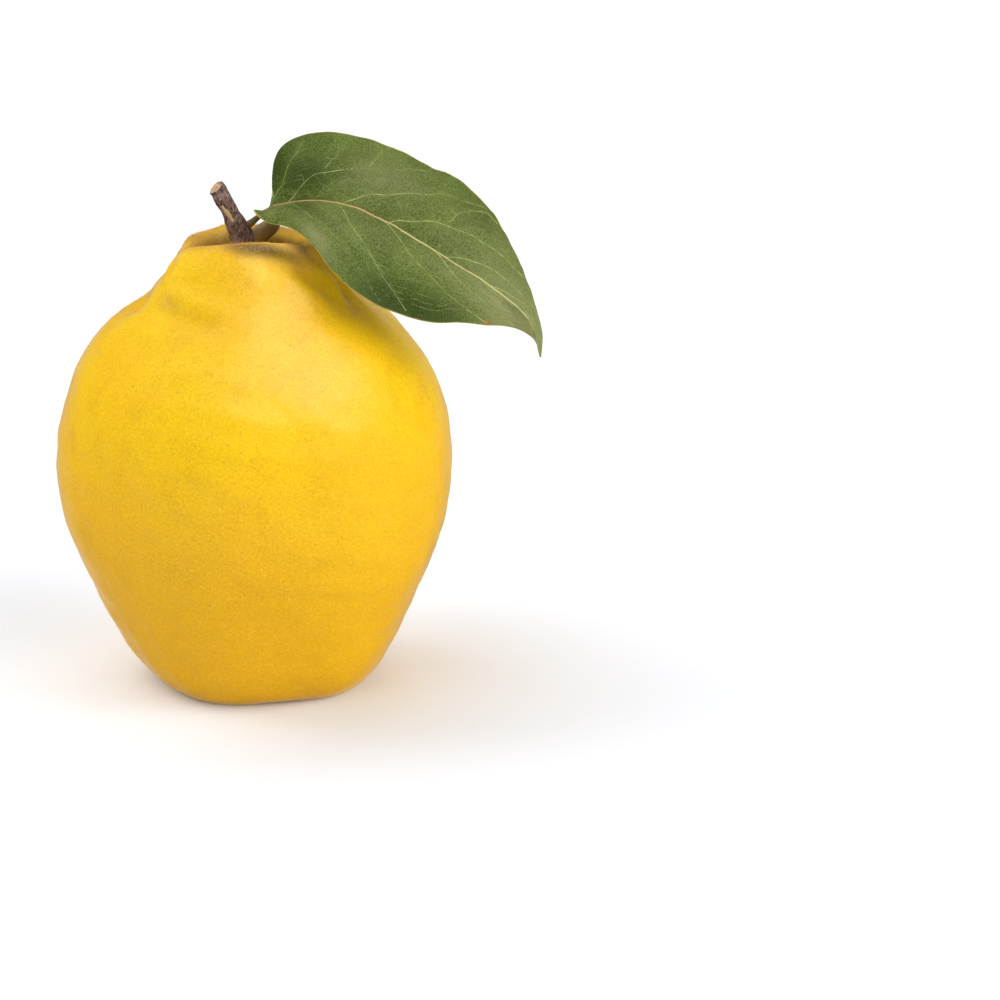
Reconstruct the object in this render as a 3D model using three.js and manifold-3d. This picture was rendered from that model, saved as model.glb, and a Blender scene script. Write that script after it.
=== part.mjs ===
// A quince as it is picked: the fruit, its woody stalk with one leaf, and the dry calyx underneath.
// Millimetres, +Z up. The front of the fruit faces -Y, and the leaf reaches out over its right side, +X.
// The origin is the middle of the bounding box's floor, on the surface that the fruit stands on.
// Pieces are drawn round the fruit's own upright axis, and the whole group is then moved to the origin.
import * as THREE from 'three';
import { mergeVertices } from 'three/addons/utils/BufferGeometryUtils.js';
import Module from 'manifold-3d';

const wasm = await Module();
wasm.setup();

// ---------------------------------------------------------------- driving dimensions

const FRUIT_AXIS = { x: -9.7, y: -0.3 };    // the fruit's upright axis, from the origin
const CLEARANCE = 0.3;                       // gap between pieces that touch

// Half outline of the fruit as [radius, height]: from the calyx basin, round the foot, up the body and
// over the rim, to the floor of the stalk's cavity. A station is a place in this list, counted from 0.
const OUTLINE = [
  [4.2, 9.0], [8.5, 8.2], [12.5, 5.0], [16.5, 1.4], [21.0, -0.6], [26.4, 1.9],
  [30.7, 7.8], [34.2, 15.6], [37.7, 24.2], [41.0, 32.6], [43.3, 41.2], [44.2, 50.2], [43.6, 59.0],
  [41.8, 66.5], [38.8, 73.6], [34.4, 80.0], [29.4, 85.2], [24.0, 89.8], [20.4, 94.4], [18.0, 98.8],
  [15.2, 101.6], [12.2, 100.4], [9.8, 95.6], [6.2, 92.4], [3.0, 91.6],
];
const NECK_OFFSET = -1.6;                    // the neck stands this far off the body's axis, along X
const NECK_START = 17;                       // the station about which the neck moves over
const RIM_STATION = 19.8;

// Swellings and hollows of the skin: [angle, station, half width in degrees, half width in stations,
// height]. The angle is 0 at +X and 270 at the front.
const SWELLS = [
  [182, 16.7, 15, 0.55, -2.4], [8, 17, 15, 1.1, -1.4], [75, 17, 18, 1, -1.6], [125, 17, 24, 1, -1.6],
  [168, 18.8, 20, 1.1, -1.6], [226, 18, 13, 1.1, 1.4], [262, 17.6, 26, 1.1, 0.7],
  [315, 17.6, 15, 1.5, 1.6], [35, 17, 16, 2, 1.6], [355, 14.6, 26, 1.8, -0.7],
  [180, 14.2, 26, 1.8, 0.5],
];
// Creases of the neck and the lips beside them: [half width in mm, line of [angle, station, height]].
const CREASES = [
  [2.2, [
    [208, 19, -0.2], [212, 18.4, -1.3], [214, 17.8, -1.8], [216, 17.35, -1.8],
    [223, 17.05, -1.5], [234, 16.9, -1.1], [249, 16.7, -0.8], [264, 16.6, -0.1],
  ]],
  [2.6, [
    [222, 19, 0.2], [223, 18.3, 0.8], [224, 17.7, 1], [233, 17.4, 0.8],
    [250, 17.2, 0.5], [264, 17.1, 0],
  ]],
  [2.3, [
    [322, 19.9, -0.6], [334, 19.4, -1.8], [342, 18.8, -2.4], [346, 18.2, -2.4],
    [347, 17.6, -2.2], [343, 17, -1.4], [336, 16.6, -0.4], [330, 16.4, 0],
  ]],
  [2.3, [
    [298, 19.4, 0.3], [314, 19.3, 0.9], [325, 18.9, 1.3], [332, 18.4, 1.4],
    [335, 17.9, 1.1], [335, 17.4, 0.5],
  ]],
  [2.7, [
    [296, 18.6, -0.3], [311, 18.4, -0.9], [320, 17.9, -1], [324, 17.4, -0.6],
  ]],
];
const MM_PER_DEGREE = 0.42;                  // on the neck
const MM_PER_STATION = 5.3;
const CREASE_STEPS = 40;

// The stalk's centre line and radius, from the end sunk in the fruit to the slanted cut.
const STALK = [
  [-1.6, 0, 86.2, 2.7], [-1.6, 0, 91.6, 2.7], [-1.8, 0, 96.0, 2.7], [-2.2, 0, 100.4, 2.6],
  [-3.2, 0, 104.4, 2.4], [-4.8, 0, 108.4, 1.95], [-6.3, 0, 111.6, 1.9], [-7.7, 0, 114.3, 2.1],
];
const STALK_CUT_SLOPE = { right: 0.4, back: 0.15 };   // rise of the cut for each mm across it
const STALK_CUT_LENGTH = 5;                            // the rings lean over along this last stretch

// The leaf at stations along its blade: midrib, back margin, front margin. The ends are the points
// where the blade leaves the leaf stalk and where it runs out in its tip.
const BLADE = [
  [[4.9, 1.2, 109.1], [4.9, 1.2, 109.1], [4.9, 1.2, 109.1]],
  [[6.4, 1.1, 109.5], [4, 6, 115], [0.8, -4.2, 109.6]],
  [[9, 0.9, 110.1], [6.4, 11, 120.5], [4, -7.2, 107.6]],
  [[13, -0.2, 110.7], [14.7, 15, 122.7], [12.2, -13, 105.5]],
  [[18, -2, 110.7], [25.9, 16, 120.9], [19, -19.7, 99.5]],
  [[25, -4.7, 109.3], [36.4, 14, 116.8], [27.1, -22.7, 93.4]],
  [[34, -8.5, 105.4], [47.3, 8.6, 112.3], [37.7, -21.4, 88.7]],
  [[43.8, -12.2, 100], [55.7, -0.6, 104], [48.8, -19.8, 87.6]],
  [[53.4, -15.3, 94.5], [61.4, -9.8, 93.6], [57.6, -17.4, 86.1]],
  [[61.2, -17.4, 88], [64.2, -14.6, 85.2], [62.2, -17.8, 83.6]],
  [[63.9, -16, 78.8], [63.9, -16, 78.8], [63.9, -16, 78.8]],
];
const BLADE_THICKNESS = 0.8;
const BLADE_BOW = 2.2;                       // how far each half of the blade arches up
const BOWED_WIDTH = 22;                      // half width at which the arch is full
const LEAF_STALK = [[-2.2, 0.4, 103.4], [-0.6, 0.7, 105.2], [1.2, 1.0, 107.2], [3.2, 1.2, 108.6]];
const LEAF_STALK_RADIUS = 1.05;
const MIDRIB_END_RADIUS = 0.45;
const MIDRIB_DROP = 0.25;                    // the midrib stands out mostly below the blade

// The calyx: a disc let into the basin, five sepals and a tuft of dry stamens.
const CALYX_RADIUS = 4.2 - CLEARANCE;
const CALYX_TOP = 11.1;
const CALYX_BOTTOM = 9.2;
const SEPAL_COUNT = 5;
const SEPAL_THICKNESS = 0.8;
// one sepal from root to tip: distance from the axis, height, half width
const SEPAL = [[2.6, 9.9, 1.5], [3.9, 7.2, 2.1], [5.7, 4.8, 2.2], [7.5, 3.2, 1.4], [8.6, 1.7, 0.35]];
const SEPAL_CUP = 0.3;                       // the sepal's edges stand in by this share of its width
const STAMEN_COUNT = 11;
const STAMEN_LENGTH = 4.4;

// ---------------------------------------------------------------- shared geometry

const bell = (x, middle, width) => Math.exp(-(((x - middle) / width) ** 2));
const wave = (folds, angle, crest) => Math.cos(THREE.MathUtils.degToRad(folds * (angle - crest)));
const turnBetween = (a, b) => THREE.MathUtils.euclideanModulo(a - b + 180, 360) - 180;
const point = (xyz) => new THREE.Vector3(xyz[0], xyz[1], xyz[2]);
const smoothCurve = (points) => new THREE.CatmullRomCurve3(points.map(point), false, 'catmullrom');

function indexedGeometry(points, triangles) {
  const geometry = new THREE.BufferGeometry().setFromPoints(points);
  geometry.setIndex(triangles);
  geometry.computeVertexNormals();
  return geometry;
}

// A closed skin over rings of points, each ring counter-clockwise seen against the direction of travel.
// The first and last rings are closed by fans round their middles.
function ringsGeometry(rings) {
  const around = rings[0].length;
  const points = rings.flat();
  const middleOf = (ring) => ring.reduce((sum, p) => sum.add(p), new THREE.Vector3()).divideScalar(around);
  const start = points.push(middleOf(rings[0])) - 1;
  const end = points.push(middleOf(rings.at(-1))) - 1;
  const lastRing = (rings.length - 1) * around;
  const triangles = [];
  for (let j = 0; j < around; j++) {
    const next = (j + 1) % around;
    triangles.push(start, next, j, end, lastRing + j, lastRing + next);
    for (let base = 0; base < lastRing; base += around) {
      const [a, b, c, d] = [base + j, base + next, base + around + next, base + around + j];
      triangles.push(a, b, c, a, c, d);
    }
  }
  return indexedGeometry(points, triangles);
}

// A tube of round sections whose centre line and radius are given as functions of 0 to 1.
function tubeRings(centre, radius, steps, sides, slant = () => 0) {
  const rings = [];
  for (let i = 0; i <= steps; i++) {
    const t = i / steps;
    const along = centre.getTangent(t);
    const right = new THREE.Vector3(0, 1, 0).cross(along).normalize();
    const back = along.clone().cross(right);
    rings.push(Array.from({ length: sides }, (_, j) => {
      const angle = (2 * Math.PI * j) / sides;
      const across = new THREE.Vector2(Math.cos(angle), Math.sin(angle)).multiplyScalar(radius(t));
      return centre.getPoint(t)
        .addScaledVector(right, across.x)
        .addScaledVector(back, across.y)
        .addScaledVector(along, slant(t, across));
    }));
  }
  return rings;
}

// A sheet of even thickness over a grid of points. Both faces are split into the same triangles.
function sheetGeometry(rows, thickness) {
  const [down, across] = [rows.length, rows[0].length];
  const at = (i, j) => rows[THREE.MathUtils.clamp(i, 0, down - 1)][THREE.MathUtils.clamp(j, 0, across - 1)];
  const faces = [1, -1].map((side) => rows.flatMap((row, i) => row.map((p, j) => {
    const along = at(i + 1, j).clone().sub(at(i - 1, j));
    const over = at(i, j + 1).clone().sub(at(i, j - 1));
    return p.clone().addScaledVector(along.cross(over).normalize(), (side * thickness) / 2);
  })));
  const under = down * across;
  const triangles = [];
  for (let i = 0; i < down - 1; i++) {
    for (let j = 0; j < across - 1; j++) {
      const [a, b, c, d] = [i * across + j, (i + 1) * across + j, (i + 1) * across + j + 1, i * across + j + 1];
      triangles.push(a, b, c, a, c, d);
      triangles.push(under + a, under + c, under + b, under + a, under + d, under + c);
    }
  }
  const edge = [];
  for (let j = 0; j < across - 1; j++) edge.push(j);
  for (let i = 0; i < down - 1; i++) edge.push(i * across + across - 1);
  for (let j = across - 1; j > 0; j--) edge.push((down - 1) * across + j);
  for (let i = down - 1; i > 0; i--) edge.push(i * across);
  edge.forEach((a, k) => {
    const b = edge[(k + 1) % edge.length];
    triangles.push(a, b, under + b, a, under + b, under + a);
  });
  return indexedGeometry(faces.flat(), triangles);
}

function toSolid(geometry) {
  const bare = geometry.clone();
  bare.deleteAttribute('normal');
  bare.deleteAttribute('uv');
  const merged = mergeVertices(bare);
  return new wasm.Manifold(new wasm.Mesh({
    numProp: 3,
    vertProperties: new Float32Array(merged.attributes.position.array),
    triVerts: new Uint32Array(merged.index.array),
  }));
}

function fromSolid(solid) {
  const { vertProperties, triVerts } = solid.getMesh();
  const geometry = new THREE.BufferGeometry();
  geometry.setAttribute('position', new THREE.BufferAttribute(vertProperties, 3));
  geometry.setIndex(new THREE.BufferAttribute(triVerts, 1));
  geometry.computeVertexNormals();
  return geometry;
}

const joinAll = (geometries) => geometries.map(toSolid).reduce((whole, piece) => whole.add(piece));

// ---------------------------------------------------------------- the fruit

// The creases with their lines filled in by smooth curves.
const creaseLines = CREASES.map(([halfWidth, points]) => ({
  halfWidth,
  sign: Math.sign(points[1][2]),
  line: smoothCurve(points).getPoints(CREASE_STEPS).map((p) => p.toArray()),
}));

// How far the skin stands out from the round outline: five broad ribs at the foot, faint ones on the
// body, uneven lobes round the neck, each swelling or hollow, and then the creases. A crease is the
// highest of the bells along its line.
function skinHeight(angle, station) {
  const foot = bell(station, 3.5, 3.2) * (0.7 * wave(5, angle, 240) + 0.4 * wave(3, angle, 20));
  const body = bell(station, 10, 5)
    * (0.35 * wave(5, angle, 250) + 0.5 * wave(2, angle, 10) + 0.4 * wave(3, angle, 75));
  const neck = bell(station, 19, 2.6) * (0.5 * wave(5, angle, 285) + 0.5 * wave(3, angle, 140));
  let height = foot + body + neck;
  for (const [middle, place, halfTurn, halfWidth, most] of SWELLS) {
    height += most * bell(turnBetween(angle, middle), 0, halfTurn) * bell(station, place, halfWidth);
  }
  for (const { halfWidth, sign, line } of creaseLines) {
    height += sign * Math.max(...line.map(([middle, place, most]) => {
      const away = Math.hypot(turnBetween(angle, middle) * MM_PER_DEGREE, (station - place) * MM_PER_STATION);
      return sign * most * bell(away, 0, halfWidth);
    }));
  }
  return height;
}

// The rim is highest at the front and back and lower at the sides.
function rimLift(angle, station) {
  const highs = 1.5 * wave(1, angle, 270) + 1.1 * wave(2, angle, 268) + 0.35 * wave(5, angle, 230);
  return bell(station, RIM_STATION, 1.7) * highs;
}

function fruitGeometry() {
  const outline = smoothCurve(OUTLINE.map(([radius, height]) => [radius, 0, height]));
  const lastStation = OUTLINE.length - 1;
  const rows = 46;
  const around = 64;
  const ring = (place) => Array.from({ length: around }, (_, j) => place((360 * j) / around));
  const rings = [];
  for (let i = 0; i <= rows; i++) {
    const station = (lastStation * i) / rows;
    const base = outline.getPoint(i / rows);
    const along = outline.getTangent(i / rows);
    const fade = Math.min(1, station / 2) * Math.min(1, (lastStation - station) / 2.5);
    const offset = NECK_OFFSET / (1 + Math.exp((NECK_START - station) / 1.2));
    rings.push(ring((angle) => {
      const out = fade * skinHeight(angle, station);
      const radius = base.x + along.z * out;
      const height = base.z - along.x * out + rimLift(angle, station);
      return new THREE.Vector3(
        offset + radius * wave(1, angle, 0),
        radius * wave(1, angle, 90),
        Math.max(0, height),
      );
    }));
  }
  // round sockets for the calyx disc and for the stalk's sunk end
  const calyxSocket = rings[0].map((p) => p.clone().setZ(CALYX_TOP + CLEARANCE));
  const stalkSocket = rings.at(-1).map((p) => p.clone().setZ(STALK[0][2] - CLEARANCE));
  return ringsGeometry([calyxSocket, ...rings, stalkSocket]);
}

// ---------------------------------------------------------------- the stalk

function stalkGeometry(extra = 0) {
  const centre = smoothCurve(STALK);
  const radii = smoothCurve(STALK.map((station) => [station[3], 0, 0]));
  const length = centre.getLength();
  const slant = (t, across) => {
    const lean = Math.max(0, 1 - ((1 - t) * length) / STALK_CUT_LENGTH);
    return lean * (STALK_CUT_SLOPE.right * across.x + STALK_CUT_SLOPE.back * across.y);
  };
  return ringsGeometry(tubeRings(centre, (t) => radii.getPoint(t).x + extra, 21, 14, slant));
}

// ---------------------------------------------------------------- the leaf

// A point of the blade: from the midrib (side 0) to the back margin (side 1) or the front one (side -1),
// with each half arched up between midrib and margin.
function bladePoint(lines, t, side) {
  const [midrib, back, front] = lines.map((line) => line.getPoint(t));
  const margin = side > 0 ? back : front;
  const halfWidth = margin.distanceTo(midrib);
  const up = lines[0].getTangent(t).cross(back.clone().sub(front)).normalize();
  const arch = Math.sin(Math.PI * Math.abs(side) ** 0.8) * Math.min(1, halfWidth / BOWED_WIDTH);
  return midrib.clone().lerp(margin, Math.abs(side)).addScaledVector(up, BLADE_BOW * arch);
}

function leafGeometry() {
  const lines = [0, 1, 2].map((line) => smoothCurve(BLADE.map((station) => station[line])));
  const steps = 30;
  const halfAcross = 6;
  const rows = [];
  for (let i = 0; i <= steps; i++) {
    const t = 0.02 + 0.965 * (i / steps);
    const row = [];
    for (let j = -halfAcross; j <= halfAcross; j++) row.push(bladePoint(lines, t, j / halfAcross));
    rows.push(row);
  }
  const blade = sheetGeometry(rows, BLADE_THICKNESS);
  const ribPath = [...LEAF_STALK, ...BLADE.map(([x]) => [x[0], x[1], x[2] - MIDRIB_DROP])];
  const ribRadius = (t) => THREE.MathUtils.lerp(LEAF_STALK_RADIUS, MIDRIB_END_RADIUS, t);
  const rib = ringsGeometry(tubeRings(smoothCurve(ribPath), ribRadius, 42, 8));
  return fromSolid(joinAll([blade, rib]).subtract(toSolid(stalkGeometry(CLEARANCE))));
}

// ---------------------------------------------------------------- the calyx

function sepalGeometry(angle) {
  const spine = smoothCurve(SEPAL);
  const rows = [];
  for (let i = 0; i <= 6; i++) {
    const [distance, height, halfWidth] = spine.getPoint(i / 6).toArray();
    rows.push([-1, -0.5, 0, 0.5, 1].map((side) => (
      new THREE.Vector3(distance - SEPAL_CUP * halfWidth * side * side, side * halfWidth, height)
    )));
  }
  return sheetGeometry(rows, SEPAL_THICKNESS).rotateZ(angle);
}

function calyxGeometry() {
  const thickness = CALYX_TOP - CALYX_BOTTOM;
  const disc = new THREE.CylinderGeometry(CALYX_RADIUS, CALYX_RADIUS, thickness, 20)
    .rotateX(Math.PI / 2)
    .translate(0, 0, CALYX_BOTTOM + thickness / 2);
  const pieces = [disc];
  for (let i = 0; i < SEPAL_COUNT; i++) {
    pieces.push(sepalGeometry((2 * Math.PI * (i + 0.2)) / SEPAL_COUNT));
  }
  for (let i = 0; i < STAMEN_COUNT; i++) {
    const angle = 2.4 * i;                   // the golden angle, so that they spread evenly
    const distance = 0.5 * Math.sqrt(i);
    pieces.push(new THREE.CylinderGeometry(0.4, 0.28, STAMEN_LENGTH, 4)
      .rotateX(Math.PI / 2)
      .rotateY(-0.12 * distance)
      .translate(distance, 0, CALYX_BOTTOM + 0.6 - STAMEN_LENGTH / 2)
      .rotateZ(angle));
  }
  return fromSolid(joinAll(pieces));
}

// ---------------------------------------------------------------- the quince

function piece(name, geometry, color, roughness) {
  const mesh = new THREE.Mesh(geometry, new THREE.MeshStandardMaterial({ color, roughness, metalness: 0 }));
  mesh.name = name;
  return mesh;
}

const quince = new THREE.Group();
quince.position.set(FRUIT_AXIS.x, FRUIT_AXIS.y, 0);
quince.add(
  piece('fruit', fruitGeometry(), '#efbd1c', 0.6),
  piece('stalk', stalkGeometry(), '#5c4433', 0.85),
  piece('leaf', leafGeometry(), '#66743c', 0.5),
  piece('calyx', calyxGeometry(), '#6d5536', 0.9),
);

export default quince;
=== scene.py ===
"""A ripe quince with its stalk, one leaf and its dry calyx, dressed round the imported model."""

import bpy
import numpy as np
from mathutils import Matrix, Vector


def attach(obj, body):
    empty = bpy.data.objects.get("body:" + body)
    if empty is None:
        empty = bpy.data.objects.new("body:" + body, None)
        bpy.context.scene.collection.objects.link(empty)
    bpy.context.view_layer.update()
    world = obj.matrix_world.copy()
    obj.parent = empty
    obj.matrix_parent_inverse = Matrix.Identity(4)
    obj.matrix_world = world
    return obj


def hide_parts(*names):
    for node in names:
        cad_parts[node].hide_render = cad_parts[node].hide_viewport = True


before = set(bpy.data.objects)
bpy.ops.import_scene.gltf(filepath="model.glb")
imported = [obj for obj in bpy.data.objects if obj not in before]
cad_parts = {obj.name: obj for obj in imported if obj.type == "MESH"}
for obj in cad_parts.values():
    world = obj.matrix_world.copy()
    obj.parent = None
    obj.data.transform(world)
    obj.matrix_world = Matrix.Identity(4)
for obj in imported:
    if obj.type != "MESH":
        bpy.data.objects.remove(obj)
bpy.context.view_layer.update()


# ------------------------------------------------------------------
# The skin of the fruit. A quince grows as one body: five broad ribs at the calyx end, a rounded
# belly, and a lumpy neck that folds over into a rim round the stalk. The skin is waxy and golden.

MM = 0.001
AXIS = np.array([-9.7, -0.3, 0.0])  # the fruit's upright axis, mm from the origin
# half outline as (radius, height): calyx basin, foot, belly, neck, rim, stalk cavity
OUTLINE = np.array([
    (4.2, 9.0), (8.5, 8.2), (12.5, 5.0), (16.5, 1.4), (21.0, -0.6), (26.4, 1.9),
    (30.7, 7.8), (34.2, 15.6), (37.7, 24.2), (41.0, 32.6), (43.3, 41.2), (44.2, 50.2), (43.6, 59.0),
    (41.8, 66.5), (38.8, 73.6), (34.4, 80.0), (29.4, 85.2), (24.0, 89.8), (20.4, 94.4), (18.0, 98.8),
    (15.2, 101.6), (12.2, 100.4), (9.8, 95.6), (6.2, 92.4), (3.0, 91.6)])
BASIN_RISE, CAVITY_DIP = 0.6, 0.3  # how much deeper the two hollows are in their middles
# a place on the skin is an angle in degrees and a point of the outline, counted from 0
NECK_OFFSET = -1.6  # the neck stands this far off the belly's axis
NECK_START, NECK_BEND = 17, 1.2  # the place where it is halfway over, and how gradually
RIM, RIM_WIDTH = 19.8, 1.7  # its place on the outline and half width in places
# waves round the fruit as (height, how many, angle of a crest): first the lift of the rim, then the
# broad lobes of foot, belly and neck, each with its place on the outline and half width in places
RIM_WAVES = [(1.5, 1, 270), (1.1, 2, 268), (0.35, 5, 230)]
LOBES = [
    (3.5, 3.2, [(0.7, 5, 240), (0.4, 3, 20)]), (10, 5, [(0.35, 5, 250), (0.5, 2, 10), (0.4, 3, 75)]),
    (19, 2.6, [(0.5, 5, 285), (0.5, 3, 140)])]
# the flesh is drawn in round the stalk in small wrinkles that sway by a few degrees
WRINKLES, WRINKLE_HEIGHT, WRINKLE_SWAY = 21, 0.25, 7
WRINKLES_START, WRINKLES_GROW = 20.6, 1.5
# swellings and hollows: angle, place on the outline, half widths in degrees and in places, height
SWELLS = [
    (182, 16.7, 15, 0.55, -2.4), (8, 17.0, 15, 1.1, -1.4), (75, 17.0, 18, 1.0, -1.6),
    (125, 17.0, 24, 1.0, -1.6), (168, 18.8, 20, 1.1, -1.6), (226, 18.0, 13, 1.1, 1.4),
    (262, 17.6, 26, 1.1, 0.7), (315, 17.6, 15, 1.5, 1.6), (35, 17.0, 16, 2.0, 1.6),
    (355, 14.6, 26, 1.8, -0.7), (180, 14.2, 26, 1.8, 0.5), (106, 20.0, 17, 0.9, 1.5),
    (324, 20.0, 20, 0.6, 2.0), (50, 20.0, 24, 0.8, 1.2)]
# creases and the lips beside them: half width in mm, and a line of (angle, place, height)
CREASES = [
    (2.2, [(208, 19.0, -0.2), (212, 18.4, -1.0), (214, 17.8, -1.2), (216, 17.35, -1.2),
           (223, 17.05, -1.0), (234, 16.9, -0.9), (249, 16.7, -0.7), (264, 16.6, -0.1)]),
    (2.6, [(222, 19.0, 0.2), (223, 18.3, 0.8), (224, 17.7, 1.0), (233, 17.4, 0.8), (250, 17.2, 0.5),
           (264, 17.1, 0)]),
    (2.3, [(322, 19.9, -0.5), (334, 19.4, -1.3), (342, 18.8, -1.8), (346, 18.2, -1.9),
           (347, 17.6, -1.7), (343, 17.0, -1.1), (336, 16.6, -0.3), (330, 16.4, 0)]),
    (2.3, [(298, 19.4, 0.3), (314, 19.3, 0.9), (325, 18.9, 1.3), (332, 18.4, 1.4), (335, 17.9, 1.1),
           (335, 17.4, 0.5)]),
    (2.6, [(268, 19.3, -0.1), (278, 19.25, -0.7), (288, 19.15, -1.1), (299, 19.05, -1.4),
           (311, 18.8, -1.2), (320, 18.2, -0.9), (325, 17.6, -0.5)])]
MM_PER_DEGREE, MM_PER_PLACE = 0.42, 5.3  # on the neck, where the creases are
# fine unevenness: height, size, seed
SKIN_UNEVEN = [(0.28, 24, 3), (0.10, 8, 4), (0.025, 2.6, 5)]
ENDS_CALM = 2  # places over which all this fades out towards each end
CAVITY_CALM = 2.5  # and the lobes towards the cavity
# where the down has stayed: on the rim, with more of it to the right, in bands round the fruit as
# (share, place, half width), in the folds, and on the lip at the front, given as a swelling is.
# The extra share to the right and the one on the lip are partly painted shade, where the leaf shades the
# neck
SHADE_SIDE = 35  # angle of the side towards the leaf, where the extra tan is partly painted shade
RIM_DOWN, MORE_RIM_DOWN_AND_SHADE, RIM_DOWN_BAND = 0.5, 0.4, (19.95, 0.42)
DOWNY_BANDS = [(0.5, 21.2, 1.0), (0.5, 0, 3.0), (0.1, 18, 3)]
FOLD_DOWN, FULL_FOLD = 0.2, 1.6  # share, and the depth of fold that has all of it
# tan down under the right of the lip, partly painted shade of the lip and the leaf
DOWN_AND_SHADE_UNDER_LIP = (312, 19.35, 28, 0.55, 0.3)
# brown in the cavity, partly real and partly painted shade of the hollow and of the leaf, more of it to
# the right: its share, how much more there is to the right, where it starts, over how many places it
# grows, and how much further out it starts to the right
STAIN_AND_SHADE, MORE_STAIN_AND_SHADE, STAIN_AND_SHADE_START, STAIN_AND_SHADE_GROWS, STAIN_AND_SHADE_SPREADS = 0.25, 0.65, 20.8, 1.2, 0.6
# painted shadow under the front of the rim, cast by the lip and the leaf: half width in mm, and a line
# of (angle, place, share)
PAINTED_SHADE_LINE = (2.6, [
    (256, 19.9, 0.2), (264, 19.8, 0.45), (274, 19.7, 0.7), (284, 19.65, 0.8), (294, 19.55, 0.8),
    (304, 19.4, 0.7), (313, 19.15, 0.5), (322, 18.8, 0.3), (330, 18.2, 0.15)])
SKIN_ROWS, SKIN_AROUND = 254, 384


def curve(points, at):
    """The uniform Catmull-Rom spline through rows of numbers at places from 0 to 1, straight beyond
    its ends: for each stretch b to c between a and d, the cubic with slopes (c-a)/2 and (d-b)/2."""
    p = np.asarray(points, float)
    p = np.vstack([2 * p[0] - p[1], p, 2 * p[-1] - p[-2]])
    place = np.clip(at, 0, 1) * (len(p) - 3)
    i = np.minimum(place.astype(int), len(p) - 4)
    w = (place - i)[..., None]
    a, b, c, d = (p[i + k] for k in range(4))
    return b + w * (c - a + w * (2 * a - 5 * b + 4 * c - d + w * (3 * b - a - 3 * c + d))) / 2


def bell(x, middle, width):
    """One at the middle, falling off as exp(-((x - middle) / width) squared)."""
    return np.exp(-((x - middle) / width) ** 2)


def ramp(x, start, length):
    """Zero up to the start, rising evenly to one over this length, and one beyond it."""
    return np.clip((x - start) / length, 0, 1)


def wave(folds, angle, crest):
    """Cosine of folds times the turn in degrees from the crest."""
    return np.cos(np.radians(folds * (angle - crest)))


def waves_round(angle, waves):
    """The sum of waves given as (height, how many, angle of a crest)."""
    return sum(height * wave(folds, angle, crest) for height, folds, crest in waves)


def ripple(points, height, size, seed, waves=12):
    """Smooth unevenness of about this height and size: the sum of sine waves in random directions."""
    draw = np.random.default_rng(seed)
    directions = draw.normal(size=(waves, 3))
    directions /= np.linalg.norm(directions, axis=1)[:, None]
    lengths = size * draw.uniform(0.7, 1.5, waves)
    phases = draw.uniform(0, 2 * np.pi, waves)
    total = sum(np.sin(2 * np.pi * (points @ d) / l + s) for d, l, s in zip(directions, lengths, phases))
    return height * (total / np.sqrt(waves))


def normals_of(grid, closed):
    """Unit normals of a grid of points: the cross product of its two central differences."""
    across = np.roll(grid, -1, 1) - np.roll(grid, 1, 1) if closed else np.gradient(grid, axis=1)
    normal = np.cross(across, np.gradient(grid, axis=0))
    return normal / (np.linalg.norm(normal, axis=-1, keepdims=True) + 1e-9)


def turn_from(middle, angle):
    """The turn in degrees from a middle angle, between -180 and 180."""
    return (angle - middle + 180) % 360 - 180


def swell(angle, place, middle, at, half_turn, half_width, height):
    """A rounded swelling: its height, times a bell of the turn and a bell of the place."""
    return height * bell(turn_from(middle, angle), 0, half_turn) * bell(place, at, half_width)


def beside(half_width, line, angle, place, spots=40):
    """The greatest of the bells round so many spots on a line of (angle, place, height)."""
    rise = 0
    for middle, at, most in curve(line, np.linspace(0, 1, spots)):
        away = np.hypot(turn_from(middle, angle) * MM_PER_DEGREE, (place - at) * MM_PER_PLACE)
        rise = np.maximum(rise, most * bell(away, 0, half_width))
    return rise


def folds_and_lobes(angle, place):
    """Height of the skin over the round outline, and how deep each point lies in a crease of the neck."""
    height = sum(bell(place, at, half_width) * waves_round(angle, waves) for at, half_width, waves in LOBES)
    height = height + WRINKLE_HEIGHT * ramp(place, WRINKLES_START, WRINKLES_GROW) * wave(
        WRINKLES, angle + WRINKLE_SWAY * wave(3, angle, 50), 0)
    for one in SWELLS:
        height = height + swell(angle, place, *one)
    fold = 0
    for half_width, line in CREASES:
        sign = np.sign(line[1][2])
        rise = beside(half_width, np.array(line) * [1, 1, sign], angle, place)
        height = height + sign * rise
        fold = fold + rise * (sign < 0)
    return height, fold


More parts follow.
